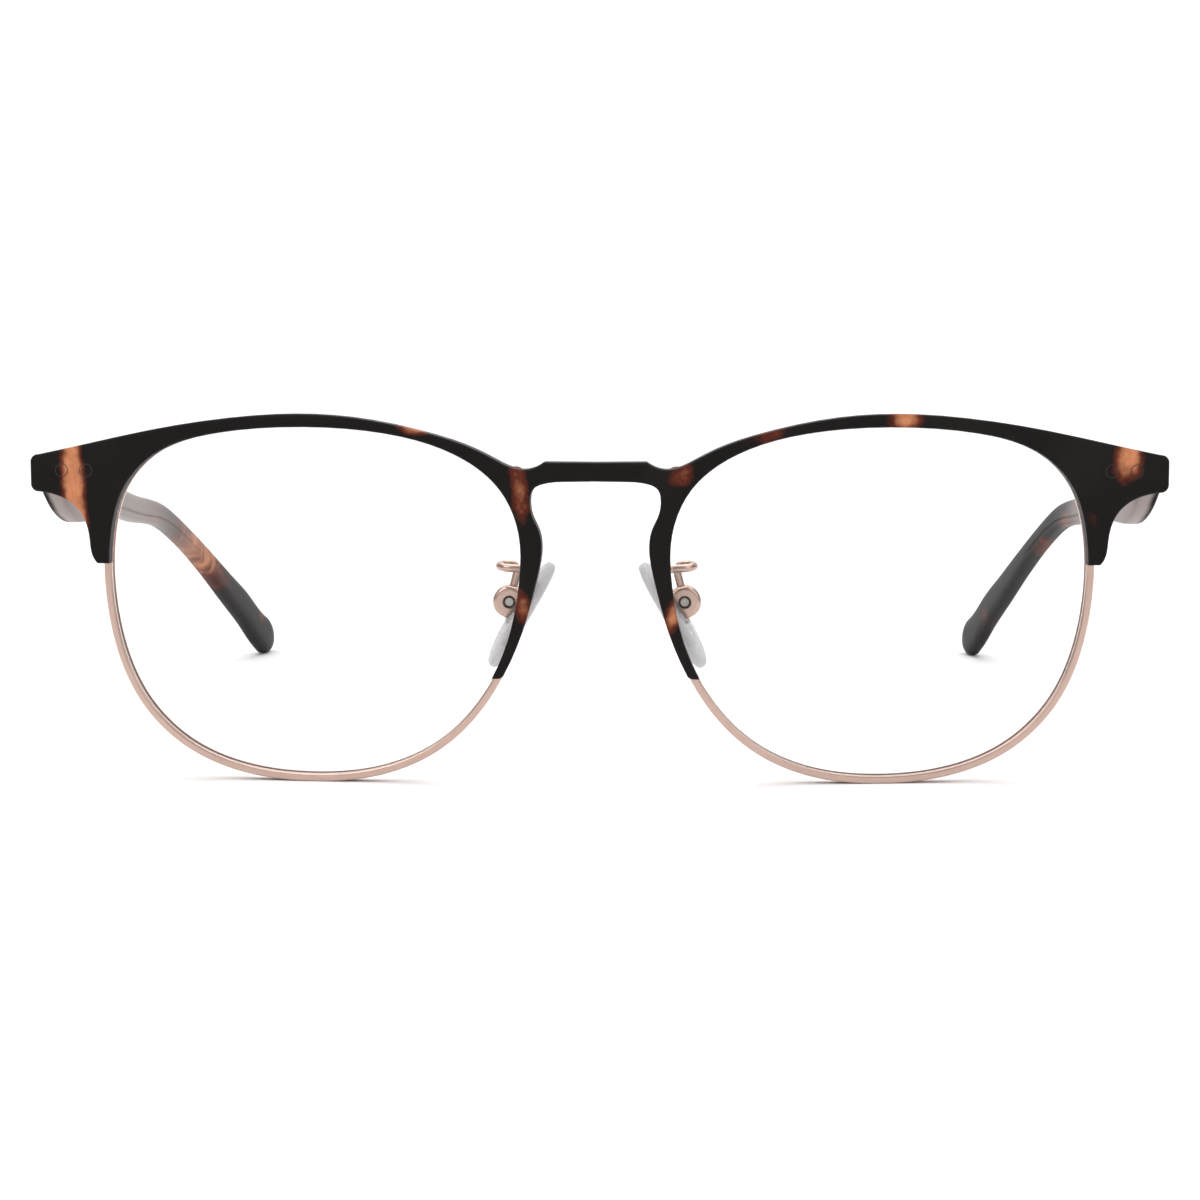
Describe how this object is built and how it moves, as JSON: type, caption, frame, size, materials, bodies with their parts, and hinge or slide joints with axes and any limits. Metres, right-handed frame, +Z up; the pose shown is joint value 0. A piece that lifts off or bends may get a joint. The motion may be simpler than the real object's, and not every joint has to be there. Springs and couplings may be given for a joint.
{
  "type": "eyeglasses",
  "caption": "Browline eyeglasses: tortoise acetate brow over full metal rims, clear lenses, screw-on silicone nose pads and folding acetate temples.",
  "frame": {"origin": "middle of the box round the open spectacles, on the surface they stand on", "axes": "+X to the wearer's left, +Y from the front towards the wearer, +Z up"},
  "size_m": [0.14, 0.1424, 0.0454],
  "materials": {
    "brow_acetate": "matte tortoise acetate",
    "temple_acetate": "polished tortoise acetate",
    "rose_gold": "satin rose-gold plating",
    "screw_steel": "plain",
    "rivet": "lacquered to match the brow",
    "core_steel": "plain",
    "lens": "clear polished",
    "insert_plastic": "clear",
    "silicone": "clear silicone"
  },
  "bodies": {
    "front": {"brow_front": "brow_acetate", "rim_left": "rose_gold", "rim_right": "rose_gold", "lens_left": "lens", "lens_right": "lens", "rim_lock_screw_left": "screw_steel", "rim_lock_screw_right": "screw_steel", "brow_screw_inner_left": "screw_steel", "brow_screw_inner_right": "screw_steel", "brow_screw_outer_left": "screw_steel", "brow_screw_outer_right": "screw_steel", "hinge_rivet_inner_left": "rivet", "hinge_rivet_inner_right": "rivet", "hinge_rivet_outer_left": "rivet", "hinge_rivet_outer_right": "rivet", "pad_arm_left": "rose_gold", "pad_arm_right": "rose_gold", "pad_box_left": "rose_gold", "pad_box_right": "rose_gold", "pad_screw_left": "screw_steel", "pad_screw_right": "screw_steel", "hinge_front_left": "rose_gold", "hinge_front_right": "rose_gold", "hinge_screw_left": "screw_steel", "hinge_screw_right": "screw_steel"},
    "temple_left": {"temple_left": "temple_acetate", "temple_core_left": "core_steel", "hinge_temple_left": "rose_gold"},
    "pad_left": {"nose_pad_left": "silicone", "pad_insert_left": "insert_plastic"},
    "temple_right": {"temple_right": "temple_acetate", "temple_core_right": "core_steel", "hinge_temple_right": "rose_gold"},
    "pad_right": {"nose_pad_right": "silicone", "pad_insert_right": "insert_plastic"}
  },
  "joints": [
    {"name": "temple_left_fold", "type": "hinge", "parent": "front", "child": "temple_left", "pos_m": [0.0653, -0.06004, 0.0384], "axis": [0, 0, 1], "range_deg": [0, 84]},
    {"name": "temple_right_fold", "type": "hinge", "parent": "front", "child": "temple_right", "pos_m": [-0.0653, -0.06004, 0.0384], "axis": [0, 0, -1], "range_deg": [0, 80]},
    {"name": "nose_pad_left_rock", "type": "hinge", "parent": "front", "child": "pad_left", "pos_m": [0.0109, -0.06239, 0.022], "axis": [0, 1, 0], "range_deg": [-6, 6]},
    {"name": "nose_pad_right_rock", "type": "hinge", "parent": "front", "child": "pad_right", "pos_m": [-0.0109, -0.06239, 0.022], "axis": [0, 1, 0], "range_deg": [-6, 6]}
  ]
}
